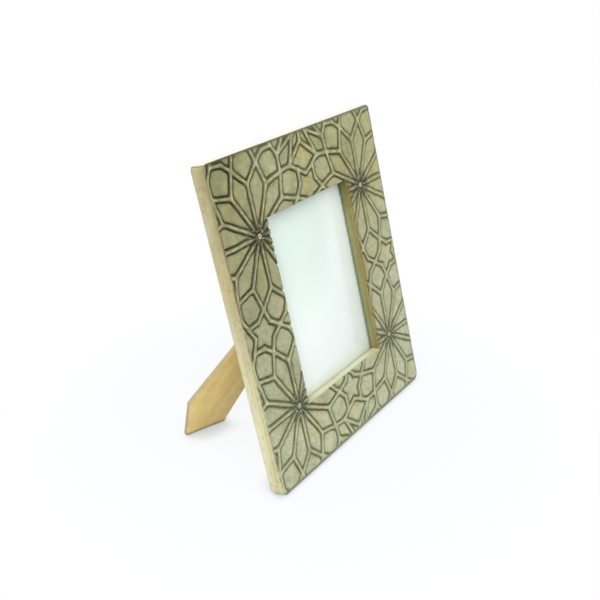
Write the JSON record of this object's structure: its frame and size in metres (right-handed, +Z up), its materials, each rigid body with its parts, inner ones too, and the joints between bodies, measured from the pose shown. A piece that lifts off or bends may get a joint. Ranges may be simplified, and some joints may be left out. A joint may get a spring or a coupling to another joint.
{
  "type": "standing picture frame",
  "caption": "Standing picture frame with a carved geometric wooden border, a glazed rebate, a backing board under turn buttons and a folding easel leg.",
  "frame": {"origin": "on the table under the middle of the part's box", "axes": "+Z up, +X to the viewer's right, +Y backwards, away from the carved face"},
  "size_m": [0.2414, 0.1378, 0.286],
  "materials": {
    "carved_wood": "matte",
    "leg_wood": "matte",
    "board": "matte",
    "glass": "gloss",
    "blank_print": "satin",
    "brass": "satin",
    "steel": "satin"
  },
  "bodies": {
    "frame": {"top_rail": "carved_wood", "bottom_rail": "carved_wood", "left_stile": "carved_wood", "right_stile": "carved_wood", "corner_v_nails": "steel", "glass_pane": "glass", "photo_insert": "blank_print", "backing_board": "board", "turn_button_screws": "brass", "hinge_board_plate": "brass", "hinge_board_rivets": "brass", "hinge_pin": "steel"},
    "leg": {"easel_leg": "leg_wood", "hinge_leg_plate": "brass", "hinge_leg_rivets": "brass"},
    "button_top": {"turn_button_top": "brass"},
    "button_bottom": {"turn_button_bottom": "brass"},
    "button_left": {"turn_button_left": "brass"},
    "button_right": {"turn_button_right": "brass"}
  },
  "joints": [
    {"name": "leg_fold", "type": "hinge", "parent": "frame", "child": "leg", "pos_m": [-0.006, -0.01024, 0.15795], "axis": [0.848, -0.1372, -0.5119], "range_deg": [-35.07, 0]},
    {"name": "button_top_swivel", "type": "hinge", "parent": "frame", "child": "button_top", "pos_m": [0, 0.00847, 0.23472], "axis": [0, 0.9659, -0.2588], "continuous": true},
    {"name": "button_bottom_swivel", "type": "hinge", "parent": "frame", "child": "button_bottom", "pos_m": [0, -0.04172, 0.04743], "axis": [0, 0.9659, -0.2588], "continuous": true},
    {"name": "button_left_swivel", "type": "hinge", "parent": "frame", "child": "button_left", "pos_m": [-0.07155, -0.01662, 0.14107], "axis": [0, 0.9659, -0.2588], "continuous": true},
    {"name": "button_right_swivel", "type": "hinge", "parent": "frame", "child": "button_right", "pos_m": [0.07155, -0.01662, 0.14107], "axis": [0, 0.9659, -0.2588], "continuous": true}
  ]
}
